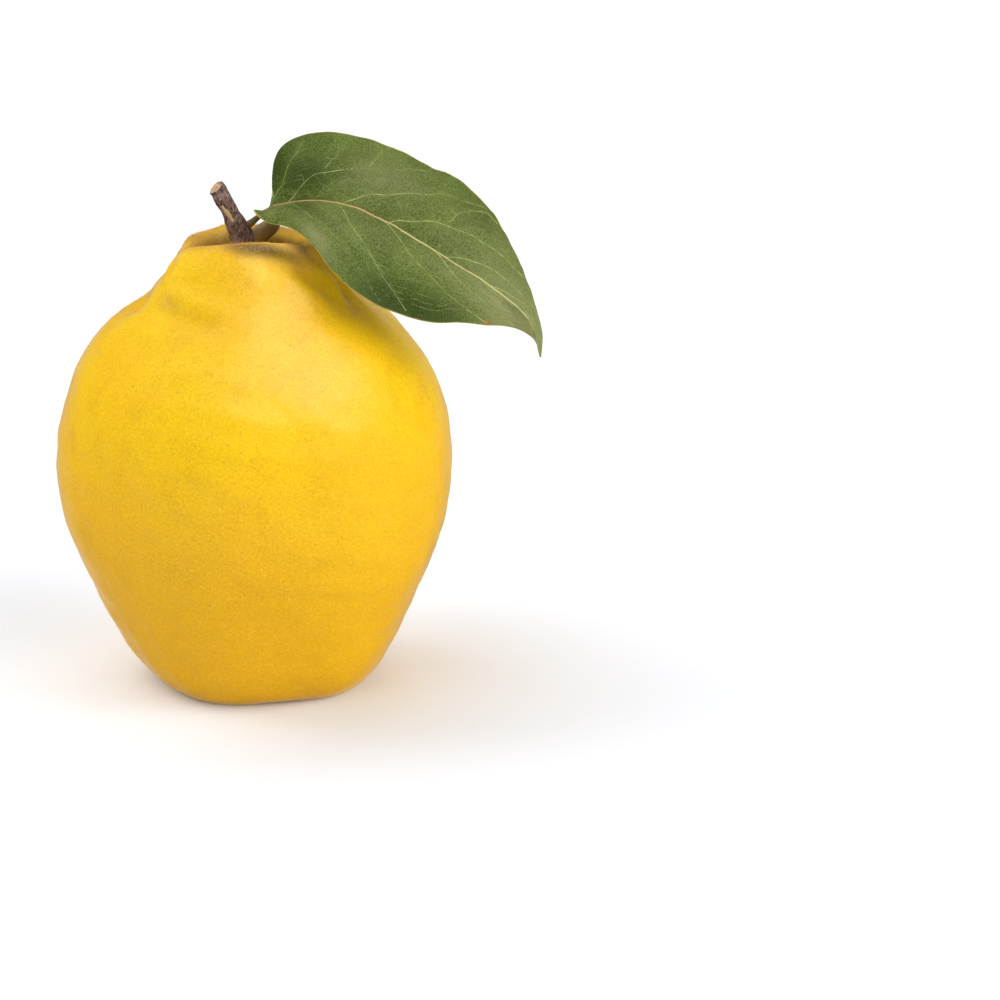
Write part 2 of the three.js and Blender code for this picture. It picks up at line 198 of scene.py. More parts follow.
def fruit_grid(rows, around):
    """Points of the skin on a grid of outline places by angles: the outline, moved out along its normal
    by the lobes, lifted at the rim, shifted at the neck and flattened where it stands. Returns the
    place, the angle and the depth of the fold at each point as well."""
    last = len(OUTLINE) - 1
    at = np.linspace(0, 1, rows)
    base = curve(OUTLINE, at)
    along = np.gradient(base, axis=0)
    along /= np.linalg.norm(along, axis=1)[:, None]
    place, angle = np.meshgrid(at * last, np.arange(around) * 360 / around, indexing="ij")
    height, fold = folds_and_lobes(angle, place)
    out = height * ramp(place, 0, ENDS_CALM) * ramp(last - place, 0, CAVITY_CALM)
    radius = base[:, :1] + along[:, 1:] * out
    z = base[:, 1:] - along[:, :1] * out + bell(place, RIM, RIM_WIDTH) * waves_round(angle, RIM_WAVES)
    x = radius * wave(1, angle, 0) + NECK_OFFSET / (1 + np.exp((NECK_START - place) / NECK_BEND))
    grid = np.stack([x, radius * wave(1, angle, 90), z], -1)
    uneven = sum(ripple(grid, *layer) for layer in SKIN_UNEVEN)
    uneven = uneven * ramp(place, 0, ENDS_CALM) * ramp(last - place, 0, ENDS_CALM)
    grid += normals_of(grid, True) * uneven[..., None]
    grid[..., 2] = np.maximum(grid[..., 2], 0)
    return grid + AXIS, place, angle, fold


def ring_faces(rows, around, closed=True):
    """Quads of a grid of points numbered row by row, as rows of four numbers."""
    i = np.arange(rows - 1)[:, None] * around
    j = np.arange(around if closed else around - 1)[None]
    k = (j + 1) % around
    return np.stack([i + j, i + k, i + around + k, i + around + j], -1).reshape(-1, 4)


def fan(centre, ring):
    """Triangles from a centre point to each side of a ring of point numbers."""
    return np.stack([np.full(len(ring), centre), ring, np.roll(ring, -1)], -1)


def capped(rings, start, end):
    """Points and faces of a closed body: quads between rings of points, and a fan from each end ring to
    a point in its middle."""
    rows, around = rings.shape[:2]
    count, ring = rows * around, np.arange(around)
    faces = [ring_faces(rows, around), fan(count, ring[::-1]), fan(count + 1, count - around + ring)]
    return np.vstack([rings.reshape(-1, 3), start, end]), faces


def make(name, points, faces, node, slot, material, **attributes):
    """A new piece from points in mm and groups of faces. It rides on the only body, stands for the CAD
    node and carries each attribute as a number on its points."""
    mesh = bpy.data.meshes.new(name)
    mesh.from_pydata((points * MM).tolist(), [], [face for group in faces for face in group.tolist()])
    mesh.shade_smooth()
    for label, values in attributes.items():
        numbers = mesh.attributes.new(label, "FLOAT", "POINT").data
        numbers.foreach_set("value", np.ravel(values).astype(np.float32))
    mesh.materials.append(material)
    thing = bpy.data.objects.new(name, mesh)
    bpy.context.collection.objects.link(thing)
    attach(thing, "root")
    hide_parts(node)
    return thing


def linear(code):
    """An sRGB hex colour as linear red, green, blue and alpha."""
    srgb = np.array([int(code[i:i + 2], 16) for i in (1, 3, 5)]) / 255
    rgb = np.where(srgb <= 0.04045, srgb / 12.92, ((srgb + 0.055) / 1.055) ** 2.4)
    return (*rgb.tolist(), 1.0)


def per(size):
    """Texture scale for a pattern of this size in mm."""
    return 1 / (size * MM)


def feed(tree, node, inputs):
    """Sets a node's inputs, by name or number, to values, or links them to sockets or to the first live
    output of other nodes. Returns the node."""
    for label, value in inputs.items():
        if isinstance(value, bpy.types.Node):
            value = next(output for output in value.outputs if output.enabled)
        if isinstance(value, bpy.types.NodeSocket):
            tree.links.new(value, node.inputs[label])
        else:
            node.inputs[label].default_value = value
    return node


def add(tree, kind, inputs=(), **settings):
    """Adds a node with its settings and feeds its inputs."""
    node = tree.nodes.new("ShaderNode" + kind)
    for label, value in settings.items():
        setattr(node, label, value)
    return feed(tree, node, dict(inputs))


def tinted(tree, colour, *layers):
    """Colours laid one over another. A layer is (source, low, high, share at low, share at high, colour):
    its share of the whole follows the source smoothly between the two ends and is held beyond them."""
    for source, low, high, at_low, at_high, tint in layers:
        share = add(tree, "MapRange", {0: source, 1: low, 2: high, 3: at_low, 4: at_high},
                    interpolation_type="SMOOTHSTEP")
        colour = add(tree, "Mix", {0: share, 6: colour, 7: linear(tint)}, data_type="RGBA")
    return colour


def new_material(name):
    """An empty material, its node tree and its principled shader."""
    material = bpy.data.materials.new(name)
    material.use_nodes = True
    return material, material.node_tree, material.node_tree.nodes["Principled BSDF"]


def ripe_skin():
    """Waxy quince skin: lemon to golden yellow in soft clouds, deeper and more orange towards the calyx,
    partly as painted shade of the underside, with a fine dark grain where the down has been rubbed off,
    tan down left in the folds and at the rim, brown in the stalk's cavity, and a few specks. On the side
    towards the leaf the tan and the brown are partly painted shade, and under the front of the rim lies
    a painted shadow. The wax gives a broad soft gloss."""
    material, tree, shader = new_material("quince_skin_waxy")
    at = add(tree, "TexCoord").outputs["Object"]
    height = add(tree, "SeparateXYZ", {0: at}).outputs["Z"]
    down = add(tree, "Attribute", attribute_name="down").outputs["Fac"]
    stain = add(tree, "Attribute", attribute_name="stain").outputs["Fac"]
    clouds = add(tree, "TexNoise", {"Vector": at, "Scale": per(34), "Detail": 3, "Roughness": 0.55})
    blots = add(tree, "TexNoise", {"Vector": at, "Scale": per(9), "Detail": 5, "Roughness": 0.65})
    # the grain and the pores are drawn coarser than life, so that they show
    grain = add(tree, "TexNoise", {"Vector": at, "Scale": per(0.5), "Detail": 4, "Roughness": 0.75})
    pores = add(tree, "TexVoronoi", {"Vector": at, "Scale": per(0.9)})
    # one cell in three, chosen by its random colour, has a speck at its middle: there the distance to
    # the middle less one is lowest
    cells = add(tree, "TexVoronoi", {"Vector": at, "Scale": per(5.5)})
    chosen = add(tree, "Math", {0: cells.outputs["Color"], 1: 0.66}, operation="GREATER_THAN")
    speck = add(tree, "Math", {0: cells, 1: chosen}, operation="SUBTRACT")
    patchy = add(tree, "MapRange", {0: blots, 1: 0.3, 2: 0.6, 3: 0.65, 4: 1.0})
    patchy = add(tree, "Math", {0: down, 1: patchy}, operation="MULTIPLY")
    colour = tinted(
        tree, linear("#eab600"),
        # towards the calyx end the colour is deeper and more orange, partly as painted shade of the
        # underside
        (clouds, 0.36, 0.62, 0, 1, "#efc200"), (height, 0.085, 0.02, 0, 0.85, "#e2a700"),
        (blots, 0.48, 0.72, 0, 0.4, "#d49c00"), (grain, 0.5, 0.68, 0, 0.5, "#b98a00"),
        (grain, 0.46, 0.32, 0, 0.45, "#ffe32e"), (patchy, 0, 1, 0, 1, "#c09040"),
        # next: brown with painted shade in the cavity, the painted shadow under the rim, and specks
        (stain, 0, 1, 0, 1, "#4a3208"), (speck, -0.97, -0.94, 0.5, 0, "#8a5a12"))
    relief = add(tree, "Bump", {"Strength": 0.2, "Distance": 0.1 * MM, "Height": pores})
    relief = add(tree, "Bump", {"Strength": 0.35, "Distance": 0.15 * MM, "Height": grain, "Normal": relief})
    feed(tree, shader, {
        "Base Color": colour, "Normal": relief, "IOR": 1.42, "Specular IOR Level": 0.4,
        "Roughness": add(tree, "MapRange", {0: patchy, 3: 0.38, 4: 0.8}),
        "Subsurface Weight": 0.06, "Subsurface Radius": (1.0, 0.45, 0.1), "Subsurface Scale": 2.5 * MM,
        "Sheen Weight": 1.0, "Sheen Roughness": 0.25, "Sheen Tint": linear("#ffe6c0")})
    return material


skin, place, angle, fold = fruit_grid(SKIN_ROWS, SKIN_AROUND)
skin_normals = normals_of(skin, True)
# weight towards the leaf's side, where the extra tan down and brown are partly painted shade
shade_side = 0.5 + 0.5 * wave(1, angle, SHADE_SIDE)
down = bell(place, *RIM_DOWN_BAND) * (RIM_DOWN + MORE_RIM_DOWN_AND_SHADE * shade_side)
down = down + sum(share * bell(place, at, half_width) for share, at, half_width in DOWNY_BANDS)
down = down + FOLD_DOWN * ramp(fold, 0, FULL_FOLD) + swell(angle, place, *DOWN_AND_SHADE_UNDER_LIP)
down = np.clip(down * (1 + ripple(skin, height=0.35, size=9, seed=8)), 0, 1)
# brown in the cavity, more to the leaf's side as painted shade, and the painted shadow under the rim
stain = STAIN_AND_SHADE + MORE_STAIN_AND_SHADE * shade_side
stain = stain * ramp(place + STAIN_AND_SHADE_SPREADS * shade_side, STAIN_AND_SHADE_START, STAIN_AND_SHADE_GROWS)
stain = np.maximum(stain, beside(*PAINTED_SHADE_LINE, angle, place))
skin_points, skin_faces = capped(
    skin, skin[0].mean(0) + [0, 0, BASIN_RISE], skin[-1].mean(0) - [0, 0, CAVITY_DIP])
make("fruit_skin", skin_points, skin_faces, "fruit", "quince_skin", ripe_skin(),
     down=np.append(down, [1, 1]), stain=np.append(stain, [0, 1]))


# ------------------------------------------------------------------
# The down. Young quinces are felted all over with soft grey-tan hairs; on a ripe one most of them
# have been rubbed off the belly, and they stay thick at the rim, in the folds and in the hollows.

DOWN_HAIRS = 56000
THIN_DOWN = 0.16  # how thick it is on the belly, where 1 is at the rim
DOWN_LENGTH = (0.45, 1.25)  # on the belly and at the rim
DOWN_WIDTH = 0.05  # wider than life, so that each one shows
DOWN_VARIES = (0.6, 1.25)  # shortest and longest against their neighbours
DOWN_RISES = (0.35, 1.0)  # how steeply the flattest and the steepest stand
DOWN_LEAN = 0.55  # how far they lie back along the skin
DOWN_TANGLE = 0.55  # how far they stray from one direction
# each bends at a knee: how far out and up that is, as shares of the hair, and its width there
KNEE_OUT, KNEE_UP, KNEE_WIDTH = 0.5, 0.75, 0.7
TIP_OUT = 1.15
DOWN_ROOT = 0.06  # how deep they are rooted in the skin
ABOVE_TABLE = 0.02  # the ones under the foot stay this far above the table


def hairs(grid, normal, density, number, seed):
    """Short tapered hairs on a grid surface, as flat blades of three triangles. Each starts at a random
    place on a random quad, chosen by area times density, and leans back along the grid's rows."""
    draw = np.random.default_rng(seed)
    a, b, c = grid[:-1, :-1], grid[:-1, 1:], grid[1:, :-1]
    share = np.linalg.norm(np.cross(b - a, c - a), axis=-1) * density[:-1, :-1]
    quad = draw.choice(share.size, number, p=share.ravel() / share.sum())
    i, j = np.divmod(quad, share.shape[1])
    u, v = draw.uniform(size=(2, number, 1))
    root = a[i, j] + (b[i, j] - a[i, j]) * u + (c[i, j] - a[i, j]) * v
    up = normal[i, j]
    lay = a[i, j] - c[i, j]
    lay /= np.linalg.norm(lay, axis=1)[:, None] + 1e-9
    lay = lay + draw.normal(0, DOWN_TANGLE, (number, 3))
    lay -= up * np.sum(lay * up, 1)[:, None]
    lay /= np.linalg.norm(lay, axis=1)[:, None] + 1e-9
    side = np.cross(up, lay) * DOWN_WIDTH / 2
    short, long = DOWN_LENGTH
    reach = (short + (long - short) * density[i, j] ** 0.8) * draw.uniform(*DOWN_VARIES, number)
    rise = draw.uniform(*DOWN_RISES, number) * (1 - DOWN_LEAN)
    reach, rise = reach[:, None], rise[:, None]
    knee = root + reach * (KNEE_OUT * DOWN_LEAN * lay + KNEE_UP * rise * up)
    tip = root + reach * (TIP_OUT * DOWN_LEAN * lay + rise * up)
    foot = root - DOWN_ROOT * up
    bend = side * KNEE_WIDTH
    points = np.stack([foot - side, foot + side, knee + bend, knee - bend, tip], 1)
    first = np.arange(number)[:, None] * points.shape[1]
    return points.reshape(-1, 3), [first + [3, 2, 1, 0], first + [4, 2, 3]]


def felted_down():
    """Plant down: tan hairs in paler tufts, dull, with a soft edge of light."""
    material, tree, shader = new_material("down_hairs")
    tone = add(tree, "TexNoise", {"Vector": add(tree, "TexCoord").outputs["Object"], "Scale": per(3)})
    feed(tree, shader, {
        "Base Color": tinted(tree, linear("#c4952a"), (tone, 0.3, 0.7, 0, 1, "#e6bc50")), "Roughness": 0.85,
        "Specular IOR Level": 0.2, "Sheen Weight": 0.3, "Sheen Tint": linear("#ffe6b8")})
    return material


hair_points, hair_faces = hairs(skin, skin_normals, THIN_DOWN + down, DOWN_HAIRS, seed=21)
hair_points[:, 2] = np.maximum(hair_points[:, 2], ABOVE_TABLE)
make("fruit_down", hair_points, hair_faces, "fruit", "quince_skin", felted_down())


# ------------------------------------------------------------------
# The stalk. A short piece of woody twig, cut off slanting above the joint where the leaf grows.
# Its bark is dark brown and ridged along its length, with pale scars; the cut end is bare wood.

# centre line and radius, from the end sunk in the fruit to the cut
STALK = np.array([
    (-1.6, 0, 89.6, 2.7), (-1.6, 0, 91.6, 2.7), (-1.8, 0, 96.0, 2.7), (-2.2, 0, 100.4, 2.6),
    (-3.3, 0, 104.4, 2.35), (-5.05, 0, 108.4, 1.95), (-6.55, 0, 111.4, 1.85), (-7.65, 0, 113.9, 1.85)])
BARK_ROWS, BARK_AROUND = 200, 120
# relief as (height, size, seed, number of waves): ridges drawn out along the twig, and knobs
RIDGES = [(0.13, 2.4, 31, 12), (0.07, 1.0, 32, 18)]
RIDGES_DRAWN_OUT = [1, 1, 0.22]
KNOBS = (0.05, 1.3, 33)
# the joint is thickest to the right, under the leaf: height, place along the stalk, half length
JOINT, JOINT_AT, JOINT_HALF = 0.35, 0.5, 0.05
CUT_END = 0.05  # share of the length over which it is pinched by the cut
PINCH, PINCH_RIGHT = 0.1, 0.25  # all round, and to the right
CUT_SLOPE = (0.25, 0.35)  # rise of the cut for each mm to the right and to the back
CUT_LENGTH = 5
# the cut face as rings of (share of the radius, height above the last ring of bark), slightly dished
CUT_RINGS = np.array([(0.94, 0.10), (0.8, 0.10), (0.6, 0.04), (0.4, 0.0), (0.2, -0.04)])
ROLLED_BARK = 0.6  # where bark is rolled over the cut, in radians
# the outer skin has peeled off in places on the front: (depth, place along the stalk and half width,
# angle and half width)
PEELED = [
    (0.8, 0.655, 0.018, 268, 11), (0.85, 0.70, 0.034, 264, 21), (0.75, 0.745, 0.028, 258, 16),
    (0.8, 0.79, 0.026, 252, 13), (0.85, 0.88, 0.018, 262, 12)]


def frame_along(path):
    """Unit tangent, right and back vectors at each point of paths, the right one level with X."""
    tangent = np.gradient(path, axis=-2)
    tangent /= np.linalg.norm(tangent, axis=-1, keepdims=True) + 1e-9
    right = np.cross([0.0, 1.0, 0.0], tangent)
    right /= np.linalg.norm(right, axis=-1, keepdims=True) + 1e-9
    return tangent, right, np.cross(tangent, right)


def stalk_grid(turn):
    """Points of the bark on a grid of places along the stalk by turns: round sections with ridges that
    wander along it, a joint under the leaf, and rings that lean over to the slanted cut."""
    at = np.linspace(0, 1, BARK_ROWS)
    line = curve(STALK, at)
    tangent, right, back = frame_along(line[:, :3])
    outward = np.cos(turn)[:, None] * right[:, None] + np.sin(turn)[:, None] * back[:, None]
    rough = outward * line[:, None, 3:] + line[:, None, :3]
    relief = sum(ripple(rough * RIDGES_DRAWN_OUT, *ridge) for ridge in RIDGES) + ripple(rough, *KNOBS)
    joint = JOINT * bell(at, JOINT_AT, JOINT_HALF)[:, None] * (0.4 + 0.6 * np.cos(turn))
    end = ramp(at, 1 - CUT_END, CUT_END)[:, None]
    radius = line[:, 3:] + relief + joint - PINCH * end - PINCH_RIGHT * end ** 2 * np.cos(turn)
    length = np.linalg.norm(np.diff(line[:, :3], axis=0), axis=1).sum()
    lean = np.maximum(0, 1 - (1 - at) * length / CUT_LENGTH)[:, None]
    slant = lean * radius * (CUT_SLOPE[0] * np.cos(turn) + CUT_SLOPE[1] * np.sin(turn))
    return line[:, None, :3] + outward * radius[..., None] + tangent[:, None] * slant[..., None]


def patches(u, v, table):
    """The sum of soft patches given as (share, middle in u, half width, middle in v, half width)."""
    return sum(share * bell(u, middle, half) * bell(v, at, wide) for share, middle, half, at, wide in table)


def twig_bark():
    """Twig bark: dark purple-brown and finely crackled, with tan patches where the outer skin has
    peeled off, a pale bloom, and fresh tan wood at the cut. The crackle, like the rings of the wood, is
    drawn coarser than life so that it shows."""
    material, tree, shader = new_material("twig_bark_crackled")
    at = add(tree, "TexCoord").outputs["Object"]
    cut, pith, peeled = (
        add(tree, "Attribute", attribute_name=label).outputs["Fac"] for label in ("cut", "pith", "peeled"))
    drawn_out = add(tree, "Mapping", {"Vector": at, "Scale": (1, 1, 0.45)})
    fibre = add(tree, "TexNoise", {"Vector": drawn_out, "Scale": per(0.45), "Detail": 5, "Roughness": 0.7})
    bloom = add(tree, "TexNoise", {"Vector": at, "Scale": per(2.6), "Detail": 4})
    ragged = add(tree, "TexNoise", {"Vector": drawn_out, "Scale": per(0.5), "Detail": 5, "Roughness": 0.65})
    ragged = add(tree, "Math", {0: peeled, 1: ragged}, operation="ADD")
    bark_colour = tinted(
        tree, linear("#37261f"),
        (fibre, 0.38, 0.66, 0, 1, "#8a6c60"), (bloom, 0.48, 0.66, 0, 0.45, "#a08b82"),
        (fibre, 0.62, 0.74, 0, 0.6, "#b8a296"), (ragged, 0.96, 1.12, 0, 0.92, "#bca46c"))
    rings = add(tree, "TexNoise", {"Vector": at, "Scale": per(0.5), "Detail": 3})
    wood = tinted(
        tree, linear("#a87f55"), (rings, 0.3, 0.7, 0, 1, "#dcbb92"), (pith, 0.6, 1, 0, 0.6, "#8a5f3d"))
    relief = add(tree, "Bump", {"Strength": 0.7, "Distance": 0.2 * MM, "Height": fibre})
    feed(tree, shader, {
        "Base Color": add(tree, "Mix", {0: cut, 6: bark_colour, 7: wood}, data_type="RGBA"),
        "Normal": relief, "Roughness": 0.78, "Specular IOR Level": 0.3})
    return material


turn = np.arange(BARK_AROUND) * 2 * np.pi / BARK_AROUND
bark = stalk_grid(turn)
cut_middle = bark[-1].mean(0)
cut_out = np.cross(bark[-1][0] - cut_middle, bark[-1][BARK_AROUND // 4] - cut_middle)
cut_out /= np.linalg.norm(cut_out)
cut_size, cut_height = CUT_RINGS[:, :1], CUT_RINGS[:, 1:]
cut_rings = cut_middle + (bark[-1] - cut_middle) * cut_size[..., None] + cut_out * cut_height[..., None]
cut_rings += cut_out * ripple(cut_rings, height=0.05, size=0.8, seed=35)[..., None]
bark = np.concatenate([bark, cut_rings])
# bare wood shows on the left two thirds of the cut, inside its first ring
is_bare = np.clip(1.6 - 2.2 * cut_size * np.cos(turn - ROLLED_BARK), 0, 1)
is_cut = np.zeros(bark.shape[:2])
is_cut[BARK_ROWS:] = is_bare * (cut_size < cut_size[0])
pith = np.repeat(np.append(np.zeros(BARK_ROWS), 1 - cut_size), BARK_AROUND)
peeled = patches(np.arange(len(bark))[:, None] / (BARK_ROWS - 1), np.degrees(turn), PEELED)
bark_points, bark_faces = capped(bark, bark[0].mean(0), bark[-1].mean(0))
make("stalk_bark", bark_points + AXIS, bark_faces, "stalk", "twig_bark", twig_bark(),
     cut=np.append(is_cut, [0, 1]), pith=np.append(pith, [0, 1]), peeled=np.append(peeled, [0, 0]))


# ------------------------------------------------------------------
# The leaf blade. A quince leaf is broad and untoothed, with a heart-shaped foot and a drawn-out
# tip that curls down. It is smooth green above, puckered between the veins, and felted grey below.

# stations along the blade: midrib, back margin, front margin
BLADE = np.array([
    [(2.8, 0.8, 108.2), (5.7, 1.1, 109.5), (2.8, 0.8, 108.2)],
    [(4.8, 1.0, 109.2), (4.0, 6.0, 115.0), (0.5, -4.2, 109.5)],
    [(9.0, 0.9, 110.1), (6.4, 11.0, 120.5), (4.0, -7.2, 107.6)],
    [(13.0, -0.2, 110.7), (14.7, 15.0, 122.7), (12.2, -13.0, 105.5)],
    [(18.0, -2.0, 110.7), (25.9, 16.0, 120.9), (19.0, -19.7, 99.5)],
    [(25.0, -4.7, 109.3), (36.4, 14.0, 116.8), (27.1, -22.7, 93.4)],
    [(34.0, -8.5, 105.4), (47.3, 8.6, 112.3), (37.7, -21.4, 88.7)],
    [(43.8, -12.2, 100.0), (55.7, -0.6, 104.0), (48.8, -19.8, 87.6)],
    [(53.4, -15.3, 94.5), (61.4, -9.8, 93.6), (57.6, -17.4, 86.1)],
    [(61.2, -17.4, 88.0), (64.2, -14.6, 85.2), (62.2, -17.8, 83.6)],
    [(63.9, -16.0, 78.8), (63.9, -16.0, 78.8), (63.9, -16.0, 78.8)]])
# how far the margin swings out between the stations, mm, at even steps from the foot to the tip
BACK_SWING = [
    0, -0.7, -0.5, 0.1, 0.55, 0.5, 0.4, 0.5, 0.45, 0, 0.1, 0.1, 0.15, 0.35, 0.5, 0.15, -0.2, 0.1, 0.25,
    0.6, 0.6, -0.25, 0, 0.3, -0.3, -0.45, -0.3, 0.1, 0.1, 0.05, 0]
FRONT_SWING = [
    0, 0, 0, 0, 0, 0, 0, -0.4, -0.4, 0.1, 0.1, 0.5, 0.65, 0.8, 0.5, 0.1, -0.15, -0.35, -0.2, -0.1,
    -0.35, -0.2, 0, -0.2, -0.2, -0.1, 0, -0.25, -0.35, -0.3, 0]
BLADE_ROWS, HALF_ACROSS = 236, 62
BLADE_START, BLADE_LENGTH = 0.006, 0.988  # places along at which the mesh starts, and that it spans
BLADE_THICKNESS = 0.25
MARGIN_THINNER = 0.55  # share of the thickness that is lost at the margin
BLADE_BOW = 2.2  # how far each half of the blade arches up
BOWED_WIDTH = 22  # half width at which the arch is full
BACK_BOW = (0.06, 0.14)  # where the arch of the back half starts, and over what length
FOOT_FLAT = (0.16, 0.05)  # the same of the front half, which is dished before that
FOOT_DISH = 1.3  # how deep, as a share of the arch
# side veins as places along the blade and across it, first of the back half, then of the front half
BACK_VEINS = [
    [(0.02, 0), (0.11, 0.26), (0.168, 0.36), (0.211, 0.56), (0.26, 0.86)],
    [(0.165, 0), (0.217, 0.1), (0.323, 0.31), (0.403, 0.43), (0.478, 0.64), (0.535, 0.92)],
    [(0.3, 0), (0.335, 0.06), (0.37, 0.14), (0.395, 0.22), (0.41, 0.28)],
    [(0.43, 0), (0.484, 0.17), (0.52, 0.3), (0.566, 0.52), (0.613, 0.77), (0.655, 0.97)],
    [(0.56, 0), (0.599, 0.16), (0.64, 0.34), (0.701, 0.54), (0.745, 0.74), (0.785, 0.94)],
    [(0.69, 0), (0.721, 0.18), (0.749, 0.32), (0.79, 0.47), (0.83, 0.65), (0.87, 0.9)],
    [(0.785, 0), (0.812, 0.14), (0.84, 0.32), (0.87, 0.52), (0.91, 0.85)],
    [(0.87, 0), (0.89, 0.2), (0.915, 0.45), (0.945, 0.85)]]
FRONT_VEINS = [
    [(0.03, 0), (0.08, -0.22), (0.13, -0.46), (0.19, -0.8)],
    [(0.16, 0), (0.245, -0.24), (0.299, -0.43), (0.385, -0.52), (0.44, -0.62), (0.515, -0.95)],
    [(0.3, 0), (0.35, -0.14), (0.4, -0.27), (0.455, -0.42), (0.51, -0.6)],
    [(0.42, 0), (0.46, -0.29), (0.485, -0.42), (0.515, -0.6), (0.545, -0.78), (0.575, -0.95)],
    [(0.545, 0), (0.574, -0.12), (0.608, -0.35), (0.652, -0.56), (0.69, -0.76), (0.735, -0.96)],
    [(0.665, 0), (0.693, -0.26), (0.733, -0.53), (0.765, -0.7), (0.81, -0.95)],
    [(0.77, 0), (0.8, -0.22), (0.835, -0.46), (0.88, -0.85)],
    [(0.86, 0), (0.885, -0.22), (0.91, -0.46), (0.94, -0.85)]]
# finer veins that fork off the side veins of the back half
BRANCHES = [
    [(0.338, 0.387), (0.352, 0.6), (0.359, 0.806)], [(0.439, 0.565), (0.437, 0.74), (0.435, 0.919)],
    [(0.641, 0.4), (0.641, 0.63), (0.653, 0.84), (0.683, 0.97)]]
VEIN_SPOTS = 45  # points along each vein
KINK_EVERY = 4  # a kink at every fourth of them, where a finer vein leaves
KINK = [0.0022, 0.009]  # its usual step aside, along the blade and across it
PUCKER, PUCKER_WIDTH = 0.36, 2.4  # the veins lie in furrows of this depth and half width
PUCKER_LIFT = 0.35  # share of that by which the blade swells between them
MIDRIB_CALM = 2.5  # half width of the strip along the midrib without them
FULL_PUCKER, FULL_WAVES = 12, 10  # half widths of the blade from which it has all of both
VEIN_GLOW, MIDRIB_GLOW = 0.9, 1.3  # half widths of the yellower flesh beside them
EDGE_SHARE, EDGE_LINE = 0.8, (0.985, 0.015)  # the yellow edge: where it starts, and its width
FOOT_EDGE, FOOT_EDGE_AT = (0.93, 0.04), (0.09, 0.07)  # it is wider at the front margin's foot
GREY_TIP_AND_SHEEN, TIP = 0.6, (0.6, 0.35)  # share of the grey tip, partly painted sheen, and where it starts along the blade and its length
SHADE_BAND, SHADE_BAND_AT, SHADE_BAND_ENDS = 0.4, (0.65, 0.06), (0.4, 0.4)  # painted shade, deeper towards both margins
# patches as (share, place along and half width, place across and half width)
# greyish patches: painted sheen where the blade catches the lamp
PAINTED_SHEEN_PATCHES = [
    (0.2, 0.4, 0.3, -0.3, 0.28), (0.35, 0.48, 0.12, 0.5, 0.5), (0.5, 0.34, 0.07, -0.8, 0.25),
    (0.3, 0.17, 0.05, -0.65, 0.3), (0.5, 0.85, 0.1, -0.65, 0.4)]
# patches of painted shade: at the foot, beside the midrib and at the front margin
PAINTED_SHADE_PATCHES = [
    (0.8, 0.12, 0.14, 0.8, 0.55), (0.8, 0.29, 0.11, 0.3, 0.28), (0.65, 0.27, 0.1, -0.28, 0.25),
    (0.8, 0.54, 0.11, -0.95, 0.35)]
FLECK = [(1, 0.735, 0.012, -0.96, 0.035)]


def blade_points(along, side):
    """Points of the blade at places along it (0 to 1) and across it (-1 front margin, 0 midrib, 1 back
    margin): a straight line from midrib to margin, arched up by a sine of the way across."""
    lines = curve(BLADE.reshape(len(BLADE), 9), along).reshape(*along.shape, 3, 3)
    midrib, back, front = lines[..., 0, :], lines[..., 1, :], lines[..., 2, :]
    step = 1e-3
    forward = curve(BLADE[:, 0], along + step) - curve(BLADE[:, 0], along - step)
    up = np.cross(forward, back - front)
    up /= np.linalg.norm(up, axis=-1, keepdims=True) + 1e-9
    margin = np.where(side[..., None] > 0, back, front)
    half_width = np.linalg.norm(margin - midrib, axis=-1)
    steps = np.linspace(0, 1, len(BACK_SWING))
    swing = np.where(side > 0, np.interp(along, steps, BACK_SWING), np.interp(along, steps, FRONT_SWING))
    margin = margin + (margin - midrib) * (swing * side ** 4 / np.maximum(half_width, 1))[..., None]
    arch = np.sin(np.pi * np.abs(side) ** 0.8) * np.minimum(1, half_width / BOWED_WIDTH)
    front_arch = np.clip((along - FOOT_FLAT[0]) / FOOT_FLAT[1], -FOOT_DISH, 1)
    arch = arch * np.where(side > 0, ramp(along, *BACK_BOW), front_arch)
    return midrib + (margin - midrib) * np.abs(side)[..., None] + up * (BLADE_BOW * arch)[..., None]


def distance_to(paths, points):
    """Distance from each point to the nearest point of any path."""
    nearest = np.full(points.shape[:-1], np.inf)
    for spot in paths.reshape(-1, 3):
        nearest = np.minimum(nearest, np.linalg.norm(points - spot, axis=-1))
    return nearest


def closed_sheet(middle, normal, thickness):
    """Points and faces of a sheet with two sides: its middle grid moved half the thickness each way along
    the normal, with quads round the edge between the two."""
    size, offset = middle[..., 0].size, normal * thickness / 2
    quads = ring_faces(*middle.shape[:2], closed=False)
    numbers = np.arange(size).reshape(middle.shape[:2])
    edge = np.concatenate([numbers[0, :-1], numbers[:-1, -1], numbers[-1, :0:-1], numbers[:0:-1, 0]])
    beyond = np.roll(edge, -1)
    walls = np.stack([beyond, edge, edge + size, beyond + size], -1)
    points = np.concatenate([middle + offset, middle - offset]).reshape(-1, 3)
    return points, [quads, quads[:, ::-1] + size, walls]


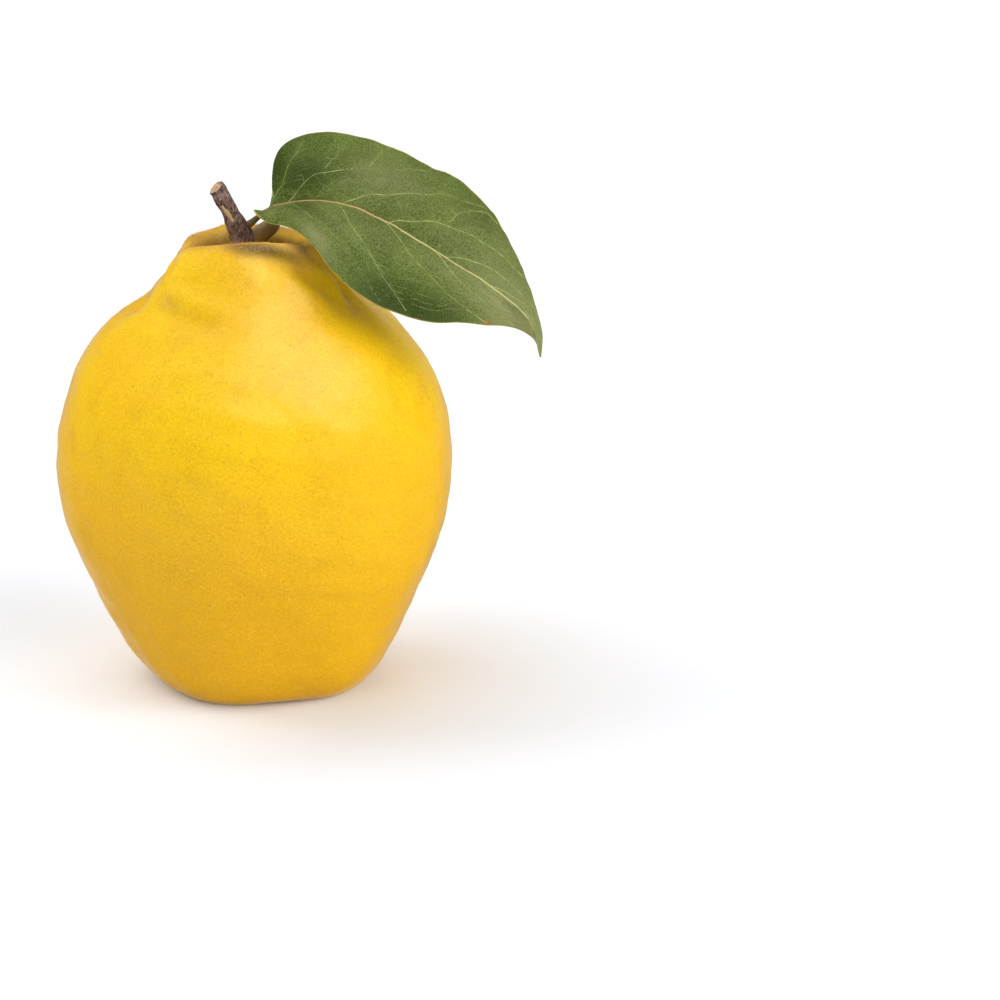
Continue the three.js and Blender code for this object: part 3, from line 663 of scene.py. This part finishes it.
def leaf_green():
    """Leaf blade: satin olive green with a fine pale net above, dull grey-green felt below, yellower beside
    the veins, a thin yellow edge and one dry brown fleck. Painted shade lies at the foot, beside the
    midrib and towards the margins; the greyish tone towards the tip is partly painted sheen, and greyish
    patches are painted sheen. The fine net is drawn coarser than life so that it shows."""
    material, tree, shader = new_material("leaf_blade_satin")
    at = add(tree, "TexCoord").outputs["Object"]
    under, vein, edge, fleck, grey_tip_and_sheen, painted_shade = (
        add(tree, "Attribute", attribute_name=label).outputs["Fac"]
        for label in ("under", "vein", "edge", "fleck", "grey_tip_and_sheen", "painted_shade"))
    clouds = add(tree, "TexNoise", {"Vector": at, "Scale": per(12), "Detail": 2, "Roughness": 0.5})
    # the meshes of the net are bent by up to a quarter of a millimetre each way
    bent = add(tree, "TexNoise", {"Vector": at, "Scale": per(1.6), "Detail": 2}).outputs["Color"]
    bent = add(tree, "VectorMath", {0: bent, 1: (0.5, 0.5, 0.5)}, operation="SUBTRACT")
    bent = add(tree, "VectorMath", {0: bent, "Scale": 0.5 * MM}, operation="SCALE")
    bent = add(tree, "VectorMath", {0: at, 1: bent}, operation="ADD")
    coarse = add(tree, "TexVoronoi", {"Vector": bent, "Scale": per(2.4)}, feature="DISTANCE_TO_EDGE")
    fine = add(tree, "TexVoronoi", {"Vector": bent, "Scale": per(0.7)}, feature="DISTANCE_TO_EDGE")
    net = add(tree, "Math", {
        0: add(tree, "MapRange", {0: fine, 1: 0.0, 2: 0.2, 3: 0.48, 4: 0.0}),
        1: add(tree, "MapRange", {0: coarse, 1: 0.01, 2: 0.05, 3: 0.3, 4: 0.0})}, operation="MAXIMUM")
    # the grey layer is the grey tip and painted sheen, the last layer painted shade
    above = tinted(
        tree, linear("#3b490a"), (clouds, 0.34, 0.66, 0, 1, "#4f5e1c"), (grey_tip_and_sheen, 0, 1, 0, 1, "#989268"),
        (vein, 0, 1, 0, 0.25, "#64742e"), (net, 0, 1, 0, 1, "#8a994c"), (painted_shade, 0, 1, 0, 0.8, "#233402"))
    below = tinted(tree, linear("#8d9a72"), (net, 0, 1, 0, 1, "#b7bd98"))
    colour = tinted(
        tree, add(tree, "Mix", {0: under, 6: above, 7: below}, data_type="RGBA"),
        (fleck, 0, 1, 0, 1, "#8f6a3a"), (edge, 0, 1, 0, 1, "#b9a650"))
    relief = add(tree, "Bump", {"Strength": 0.4, "Distance": 0.4 * MM, "Height": coarse})
    relief = add(tree, "Bump", {"Strength": 0.8, "Distance": 0.25 * MM, "Height": fine, "Normal": relief})
    feed(tree, shader, {
        "Base Color": colour, "Normal": relief,
        "Roughness": add(tree, "MapRange", {0: under, 3: 0.55, 4: 0.85}),
        "Specular IOR Level": 0.1, "Sheen Weight": 0.03, "Sheen Tint": linear("#e8f0d8")})
    return material


along, across = np.meshgrid(
    np.linspace(BLADE_START, BLADE_START + BLADE_LENGTH, BLADE_ROWS),
    np.linspace(1, -1, 2 * HALF_ACROSS + 1), indexing="ij")
outward = np.abs(across)
blade = blade_points(along, across)
# each vein steps aside at random at its kinks, and runs straight between them
courses = np.array([
    curve(vein, np.linspace(0, 1, VEIN_SPOTS)) for vein in BACK_VEINS + FRONT_VEINS + BRANCHES])
last_kink = (VEIN_SPOTS - 1) // KINK_EVERY
kinks = np.random.default_rng(43).normal(0, 1, (len(courses), last_kink + 1, 2)) * KINK
kinks[:, 0] = 0
kink, between = np.divmod(np.arange(VEIN_SPOTS), KINK_EVERY)
between = between[:, None] / KINK_EVERY
courses += kinks[:, kink] * (1 - between) + kinks[:, np.minimum(kink + 1, last_kink)] * between
from_vein = distance_to(blade_points(courses[..., 0], courses[..., 1]), blade)
from_midrib = np.linalg.norm(blade - blade[:, HALF_ACROSS][:, None], axis=-1)
blade_up = normals_of(blade, False)
half_width = np.where(across > 0, from_midrib[:, :1], from_midrib[:, -1:])
pucker = PUCKER * (PUCKER_LIFT - bell(from_vein, 0, PUCKER_WIDTH)) * (
    ramp(half_width, 0, FULL_PUCKER) * (1 - bell(from_midrib, 0, MIDRIB_CALM)))
margin_wave = ripple(blade, height=0.3, size=17, seed=42) * outward ** 3
uneven = ripple(blade, height=0.12, size=5, seed=41)
rise = pucker + (margin_wave + uneven) * ramp(half_width, 0, FULL_WAVES)
blade = blade + blade_up * rise[..., None]
blade_up = normals_of(blade, False)
thickness = BLADE_THICKNESS * (1 - MARGIN_THINNER * outward ** 8)
vein_glow = np.maximum(bell(from_vein, 0, VEIN_GLOW), bell(from_midrib, 0, MIDRIB_GLOW))
foot_edge = bell(along, *FOOT_EDGE_AT) * ramp(-across, *FOOT_EDGE)
edge_line = np.maximum(EDGE_SHARE * ramp(outward, *EDGE_LINE), foot_edge)
shade_band = SHADE_BAND * bell(along, *SHADE_BAND_AT) * ramp(outward, *SHADE_BAND_ENDS)
tints = {
    "vein": vein_glow, "edge": edge_line, "fleck": patches(along, across, FLECK),
    # the grey tip and patches of painted sheen, then a band and patches of painted shade
    "grey_tip_and_sheen": GREY_TIP_AND_SHEEN * ramp(along, *TIP) ** 0.8 + patches(along, across, PAINTED_SHEEN_PATCHES),
    "painted_shade": shade_band + patches(along, across, PAINTED_SHADE_PATCHES)}
blade_skin, blade_faces = closed_sheet(blade, blade_up, thickness[..., None])
tints = {label: np.tile(tint.ravel(), 2) for label, tint in tints.items()}
make("leaf_blade", blade_skin + AXIS, blade_faces, "leaf", "leaf_blade", leaf_green(),
     under=np.repeat([0, 1], along.size), **tints)


# ------------------------------------------------------------------
# The veins of the leaf. Side veins leave the midrib in pairs and run forward to the margin, with
# finer ones strung between them like rungs. They are pale, and stand out most on the underside.

VEIN_RADIUS = (0.175, 0.13)  # at the midrib and at the margin
# size of each vein for its place, back half, front half and branches: the front ones lie deeper in
VEIN_SIZE = np.array(
    [1, 1, 0.8, 1, 1, 1, 0.95, 0.9] + [0.93, 0.9, 0.8, 0.93, 0.93, 0.93, 0.88, 0.88] + [0.88] * 3)
VEIN_SIDES, RUNG_SIDES = 6, 5
RUNG_RADIUS = 0.08
RUNG_RISE = 0.065  # how far they lie from the blade's middle, above and below
RUNG_SPOTS = 14
RUNG_PLACES = np.arange(0.14, 0.95, 0.075)  # where they leave a side vein, as shares of its length
RUNG_STRAYS = 0.018  # and how far they may be from there
RUNG_SLANTS = 0.12  # how much nearer the midrib they may end
RUNG_BOW, RUNG_WAVE = 0.02, 0.008  # one long bow and a small wave, as places along the blade
RUNG_ASPECT = 1.5  # and this much more across it


def on_blade(along_places, across_places):
    """Points and normals of the finished blade by straight interpolation in its grid."""
    row = ramp(along_places, BLADE_START, BLADE_LENGTH) * (BLADE_ROWS - 1)
    column = (1 - np.clip(across_places, -1, 1)) * HALF_ACROSS
    i = np.minimum(row.astype(int), BLADE_ROWS - 2)
    j = np.minimum(column.astype(int), 2 * HALF_ACROSS - 1)
    u, v = (row - i)[..., None], (column - j)[..., None]
    return [(grid[i, j] * (1 - v) + grid[i, j + 1] * v) * (1 - u)
            + (grid[i + 1, j] * (1 - v) + grid[i + 1, j + 1] * v) * u for grid in (blade, blade_up)]


def tubes(paths, radii, sides):
    """Round tubes of many paths at once: for each path point a ring of points at its radius, and quads
    between neighbouring rings. The ends are closed by the rings' own polygons."""
    tangent, right, back = frame_along(paths)
    turn = np.arange(sides) * 2 * np.pi / sides
    rings = (paths[..., None, :] + radii[..., None, None] * (
        np.cos(turn)[:, None] * right[..., None, :] + np.sin(turn)[:, None] * back[..., None, :]))
    number, steps = paths.shape[:2]
    one = ring_faces(steps, sides)
    first = (np.arange(number) * steps * sides)[:, None, None]
    start = np.arange(sides)[::-1][None] + first[:, 0]
    end = np.arange(sides)[None] + (steps - 1) * sides + first[:, 0]
    return rings.reshape(-1, 3), [(one[None] + first).reshape(-1, 4), start, end]


def vein_pale(name, low, high):
    """Vein tissue: yellow-green and slightly glossy, mottled along its length between two colours."""
    material, tree, shader = new_material(name)
    at = add(tree, "TexCoord").outputs["Object"]
    tone = add(tree, "TexNoise", {"Vector": at, "Scale": per(1.5), "Detail": 3})
    colour = tinted(tree, linear(low), (tone, 0.35, 0.65, 0, 1, high))
    feed(tree, shader, {"Base Color": colour, "Roughness": 0.5})
    return material


taper = np.linspace(1, 0, VEIN_SPOTS) ** 0.7
vein_radii = (VEIN_RADIUS[1] + (VEIN_RADIUS[0] - VEIN_RADIUS[1]) * taper) * VEIN_SIZE[:, None]
vein_points, vein_faces = tubes(on_blade(courses[..., 0], courses[..., 1])[0], vein_radii, VEIN_SIDES)
make("leaf_side_veins", vein_points + AXIS, vein_faces, "leaf", "leaf_blade",
     vein_pale("vein_side_pale", "#7b8b3e", "#b0ae62"))

# rungs: from a place on one side vein to one a little nearer the midrib on the next, bowed, with a
# wave that starts differently on each
draw = np.random.default_rng(51)
t = np.linspace(0, 1, RUNG_SPOTS)[:, None]
rungs = []
for veins in (BACK_VEINS, FRONT_VEINS):
    for one, other in zip(veins[:-1], veins[1:]):
        for way in RUNG_PLACES + draw.uniform(-RUNG_STRAYS, RUNG_STRAYS, len(RUNG_PLACES)):
            start = curve(one, np.array(way))
            end = curve(other, np.array(way - draw.uniform(0, RUNG_SLANTS)))
            bow = RUNG_BOW * np.sin(np.pi * t) + RUNG_WAVE * np.sin(9 * t + 20 * way)
            rungs.append(start + (end - start) * t + bow * [1, RUNG_ASPECT * np.sign(start[1])])
rungs = np.array(rungs)
rung_path, rung_up = on_blade(rungs[..., 0], rungs[..., 1])
rung_path = np.concatenate([rung_path + rung_up * RUNG_RISE, rung_path - rung_up * RUNG_RISE])
rung_points, rung_faces = tubes(rung_path, np.full(rung_path.shape[:2], RUNG_RADIUS), RUNG_SIDES)
make("leaf_rungs", rung_points + AXIS, rung_faces, "leaf", "leaf_blade",
     vein_pale("vein_rung_green", "#566828", "#74833f"))


# ------------------------------------------------------------------
# The bud. A short downy bud for the next year stands in the corner between leaf stalk and twig, and
# grows out of the joint. Its skin is the same as the leaf stalk's.

# centre line and radius
BUD = np.array([
    (-1.2, 1.0, 100.6, 1.5), (0.2, 2.0, 101.7, 1.9), (1.6, 3.2, 102.7, 2.0), (3.0, 4.2, 103.4, 1.9),
    (4.4, 5.1, 103.9, 1.4), (5.3, 5.8, 104.2, 0.4)])
BUD_ROWS, BUD_AROUND = 40, 32
BUD_REACH = (0.15, 0.12)  # it has the colour of the leaf stalk's first stretch


def strand_skin():
    """Skin of the bud, the leaf stalk and the midrib, downy and dull: olive at the twig, flushed tan at
    the blade's foot and straw yellow towards the tip."""
    material, tree, shader = new_material("leaf_stalk_downy")
    at = add(tree, "TexCoord").outputs["Object"]
    reach = add(tree, "Attribute", attribute_name="reach").outputs["Fac"]
    tone = add(tree, "TexNoise", {"Vector": at, "Scale": per(1.2), "Detail": 4})
    relief = add(tree, "Bump", {"Strength": 0.4, "Distance": 0.1 * MM, "Height": tone})
    feed(tree, shader, {
        "Base Color": tinted(tree, linear("#6e5f26"), (reach, 0.08, 0.2, 0, 1, "#b88d56"),
                             (reach, 0.3, 0.6, 0, 1, "#b9ae6c"), (tone, 0.4, 0.7, 0, 0.4, "#8f7c48")),
        "Normal": relief, "Roughness": 0.6, "Sheen Weight": 0.3, "Sheen Tint": linear("#fff0d2")})
    return material


strand_skin_material = strand_skin()
bud_line = curve(BUD, np.linspace(0, 1, BUD_ROWS))[None]
bud_points, bud_faces = tubes(bud_line[..., :3], bud_line[..., 3], BUD_AROUND)
bud_points += ripple(bud_points, height=0.15, size=1.3, seed=62)[:, None]
make("leaf_bud", bud_points + AXIS, bud_faces, "stalk", "twig_bark", strand_skin_material,
     reach=np.repeat(np.linspace(*BUD_REACH, BUD_ROWS), BUD_AROUND))


# ------------------------------------------------------------------
# The leaf stalk and midrib, one tapering strand from the joint on the twig to the leaf's tip:
# olive and downy under the blade's foot, then a straw-coloured line flushed with pink.

LEAF_STALK = np.array([
    (-3.0, 0.2, 103.9), (-1.57, 0.3, 104.9), (-0.46, 0.5, 105.6), (0.66, 0.7, 106.5), (1.78, 0.8, 107.4)])
STRAND_RADIUS = np.array([
    1.1, 0.6, 0.55, 0.6, 0.6, 0.55, 0.5, 0.44, 0.39, 0.35, 0.31, 0.28, 0.25, 0.21, 0.17])
STALK_SPOTS, MIDRIB_SPOTS, STRAND_SIDES = 60, 150, 14
STALK_STOPS = 0.97  # just short of the midrib's first point
MIDRIB_SHOWS = 0.32  # how far it stands above the middle of the blade

midrib_along = np.linspace(0.0, 1.0, MIDRIB_SPOTS)
midrib_path, midrib_up = on_blade(midrib_along, np.zeros(MIDRIB_SPOTS))
stalk_path = curve(np.vstack([LEAF_STALK, midrib_path[:1]]), np.linspace(0, STALK_STOPS, STALK_SPOTS))
strand = np.vstack([stalk_path, midrib_path])
strand_length = np.append(0, np.cumsum(np.linalg.norm(np.diff(strand, axis=0), axis=1)))
reach = strand_length / strand_length[-1]
strand_radii = curve(STRAND_RADIUS[:, None], reach)
# the midrib is let into the blade and shows above it as a narrow line
strand[STALK_SPOTS:] -= midrib_up * np.maximum(strand_radii[STALK_SPOTS:] - MIDRIB_SHOWS, 0)
strand_points, strand_faces = tubes(strand[None], strand_radii.T, STRAND_SIDES)
strand_points += ripple(strand_points, height=0.04, size=1.6, seed=61)[:, None]
make("leaf_stalk_and_midrib", strand_points + AXIS, strand_faces, "leaf", "leaf_blade",
     strand_skin_material, reach=np.repeat(reach, STRAND_SIDES))


# ------------------------------------------------------------------
# The calyx. The five sepals of the flower stay on the fruit, dry and brown, in the basin under it,
# round a cup of withered stamens. They grow from a woody disc that is let into the flesh.

# one sepal from root to tip: distance from the axis, height, half width
SEPAL = np.array([(2.6, 9.9, 1.5), (3.9, 7.2, 2.1), (5.7, 4.8, 2.2), (7.5, 3.2, 1.4), (8.6, 1.7, 0.35)])
SEPALS, SEPAL_ROWS, SEPAL_ACROSS = 5, 36, 17
SEPAL_THICKNESS = 0.3
SEPAL_CUP = 0.3  # how far its edges bend inwards, as a share of its width
FIRST_SEPAL = 0.2  # its turn, as a share of the step from one to the next
STAMENS, STAMEN_SPOTS, STAMEN_SIDES = 34, 9, 6
GOLDEN_ANGLE = 2.4  # radians: it spreads them evenly over the cup
STAMEN_SPACING = 0.42
STAMEN_ROOT = 9.7
STAMEN_LENGTH = (2.6, 5.2)
STAMEN_TWIST = 0.6  # radians from root to tip
STAMEN_SPLAY, SPLAY_VARIES = 0.35, 0.5  # how much further out the tip is, and how much that varies
STAMEN_RADIUS, STAMEN_TAPER = 0.16, 0.05
KNOB, KNOB_LENGTH = 0.14, 0.12  # height over the thread, share of the length
# half outline of the disc as (radius, height), from the middle below, round the edge to the top
DISC_PROFILE = np.array([
    (0.6, 9.8), (2.2, 9.6), (3.4, 8.9), (4.1, 8.7), (4.25, 9.2), (3.9, 9.7), (2.4, 10.2), (0.6, 10.4)])
DISC_ROWS, DISC_AROUND = 40, 72


def dry_calyx():
    """Withered sepals and stamens: papery and dull, brown with paler tan streaks."""
    material, tree, shader = new_material("calyx_dry_paper")
    at = add(tree, "TexCoord").outputs["Object"]
    tone = add(tree, "TexNoise", {"Vector": at, "Scale": per(1.6), "Detail": 5, "Roughness": 0.6})
    feed(tree, shader, {
        "Base Color": tinted(tree, linear("#4c3823"), (tone, 0.35, 0.68, 0, 1, "#a08352")),
        "Normal": add(tree, "Bump", {"Strength": 0.7, "Distance": 0.2 * MM, "Height": tone}),
        "Roughness": 0.8})
    return material


def sepal_grid(number):
    """One sepal on a grid of places along it by places across: its spine, spread to its width, cupped
    inwards at the edges, crumpled, and turned to its place round the axis."""
    out, height, half_width = np.split(curve(SEPAL, np.linspace(0, 1, SEPAL_ROWS)), 3, axis=1)
    side = np.linspace(-1, 1, SEPAL_ACROSS)
    sheet = np.stack(np.broadcast_arrays(
        out - SEPAL_CUP * half_width * side ** 2, half_width * side, height), -1)
    # each is crumpled in its own way, as if it lay 40 mm further on
    crumple = ripple(sheet + 40 * number, height=0.22, size=3.2, seed=71)
    sheet = sheet + crumple[..., None] * normals_of(sheet, False)
    turn = 2 * np.pi * (number + FIRST_SEPAL) / SEPALS
    return sheet @ np.array([[np.cos(turn), np.sin(turn), 0], [-np.sin(turn), np.cos(turn), 0], [0, 0, 1]])


calyx_material = dry_calyx()
sepal_points, sepal_faces, filled = [], [], 0
for number in range(SEPALS):
    sheet = sepal_grid(number)
    points, faces = closed_sheet(sheet, normals_of(sheet, False), SEPAL_THICKNESS)
    sepal_points.append(points)
    sepal_faces += [group + filled for group in faces]
    filled += len(points)
make("calyx_sepals", np.vstack(sepal_points) + AXIS, sepal_faces, "calyx", "dry_calyx", calyx_material)

# the stamens splay outwards, each by its own amount, and end in a small knob
draw = np.random.default_rng(81)
t = np.linspace(0, 1, STAMEN_SPOTS)
stamen_turn = GOLDEN_ANGLE * np.arange(STAMENS)[:, None] + STAMEN_TWIST * t
stamen_out = STAMEN_SPACING * np.sqrt(np.arange(STAMENS))[:, None]
splay = stamen_out * (1 + STAMEN_SPLAY * t + SPLAY_VARIES * t ** 2 * draw.uniform(-1, 1, (STAMENS, 1)))
stamen_paths = np.stack([
    splay * np.cos(stamen_turn), splay * np.sin(stamen_turn),
    STAMEN_ROOT - draw.uniform(*STAMEN_LENGTH, (STAMENS, 1)) * t], -1)
stamen_radii = STAMEN_RADIUS - STAMEN_TAPER * t + KNOB * bell(t, 1, KNOB_LENGTH)
stamen_points, stamen_faces = tubes(stamen_paths, np.tile(stamen_radii, (STAMENS, 1)), STAMEN_SIDES)
make("calyx_stamens", stamen_points + AXIS, stamen_faces, "calyx", "dry_calyx", calyx_material)

# the disc is its profile turned round the axis
disc_radius, disc_height = np.split(curve(DISC_PROFILE, np.linspace(0, 1, DISC_ROWS)), 2, axis=1)
disc_turn = np.arange(DISC_AROUND) * 360 / DISC_AROUND
disc = np.stack(np.broadcast_arrays(
    disc_radius * wave(1, disc_turn, 0), disc_radius * wave(1, disc_turn, 90), disc_height), -1)
disc = disc + ripple(disc, height=0.1, size=1.8, seed=82)[..., None]
disc_points, disc_faces = capped(disc, disc[0].mean(0), disc[-1].mean(0))
make("calyx_disc", disc_points + AXIS, disc_faces, "calyx", "dry_calyx", calyx_material)


# ------------------------------------------------------------------
# The table: one wide sheet of matt white paper under everything. It isn't part of the fruit.

TABLE_HALF = 6.0  # metres, so that its edge is out of sight


def white_sheet():
    """Matt white paper, with a trace of light of its own, so that it runs out to white."""
    material, tree, shader = new_material("table_white")
    feed(tree, shader, {"Base Color": linear("#e9ecf2"), "Roughness": 0.9, "Specular IOR Level": 0.1,
                        "Emission Color": (1, 1, 1, 1), "Emission Strength": 0.02})
    return material


table_mesh = bpy.data.meshes.new("table")
corners = np.array([(-1, -1, 0), (1, -1, 0), (1, 1, 0), (-1, 1, 0)]) * TABLE_HALF
table_mesh.from_pydata(corners.tolist(), [], [(0, 1, 2, 3)])
table_mesh.materials.append(white_sheet())
table = bpy.data.objects.new("table", table_mesh)
table.visible_glossy = False  # matt paper: the wax doesn't mirror it
bpy.context.collection.objects.link(table)


# ------------------------------------------------------------------
# Light: a dim white room with soft windows on every side, and a lamp overhead that makes the gloss
# and nothing else. All of them are distant lights, so that the table is lit evenly.

ROOM_STRENGTH = 0.12
# name, direction from the fruit, width as seen from it in degrees, strength
GLOSS_LAMP = ("lamp_overhead", (0.40, -0.30, 0.87), 60, 4.0)
WINDOWS = [
    ("window_left", (-0.60, -0.40, 0.67), 70, 1.2), ("window_right", (0.72, -0.54, 0.42), 60, 2.0),
    ("window_side", (0.93, -0.10, 0.35), 40, 1.1), ("window_back", (0.0, 0.6, 0.8), 50, 1.0),
    ("window_left_low", (-0.93, -0.35, 0.08), 40, 0.3), ("window_back_left", (-0.7, 0.3, 0.65), 50, 1.5)]

world = bpy.data.worlds.new("white_room")
world.use_nodes = True
world.node_tree.nodes["Background"].inputs["Color"].default_value = (1, 1, 1, 1)
world.node_tree.nodes["Background"].inputs["Strength"].default_value = ROOM_STRENGTH
bpy.context.scene.world = world
world.cycles_visibility.glossy = False  # the wax doesn't mirror the room
bpy.context.scene.view_settings.view_transform = "Standard"

for light in WINDOWS + [GLOSS_LAMP]:
    name, direction, width, strength = light
    window = bpy.data.lights.new(name, "SUN")
    window.angle = np.radians(width)
    window.energy = strength
    window_at = bpy.data.objects.new(name, window)
    window_at.rotation_mode = "QUATERNION"
    window_at.rotation_quaternion = (-Vector(direction)).to_track_quat("-Z", "Y")
    window_at.visible_glossy = light is GLOSS_LAMP
    window_at.visible_diffuse = light is not GLOSS_LAMP
    bpy.context.collection.objects.link(window_at)


# ------------------------------------------------------------------
# The camera stands in front, 0.7 m off and 18 degrees above the level, and is aimed to the right of
# the fruit, so that the fruit stands in the left half of the picture.

CAMERA_RISE = np.radians(18)
CAMERA_DISTANCE = 700
AIM = np.array([54.9, 0.0, 41.0]) + AXIS  # middle of the picture, mm
PICTURE_WIDTH = 228.7  # width of the picture at the aim, mm

camera = bpy.data.cameras.new("camera")
camera.sensor_width = 36
camera.lens = camera.sensor_width * CAMERA_DISTANCE / PICTURE_WIDTH
look = np.array([0, np.cos(CAMERA_RISE), -np.sin(CAMERA_RISE)])
eye = bpy.data.objects.new("camera", camera)
eye.location = Vector(((AIM - CAMERA_DISTANCE * look) * MM).tolist())
eye.rotation_mode = "QUATERNION"
eye.rotation_quaternion = Vector(look.tolist()).to_track_quat("-Z", "Y")
bpy.context.collection.objects.link(eye)
bpy.context.scene.camera = eye
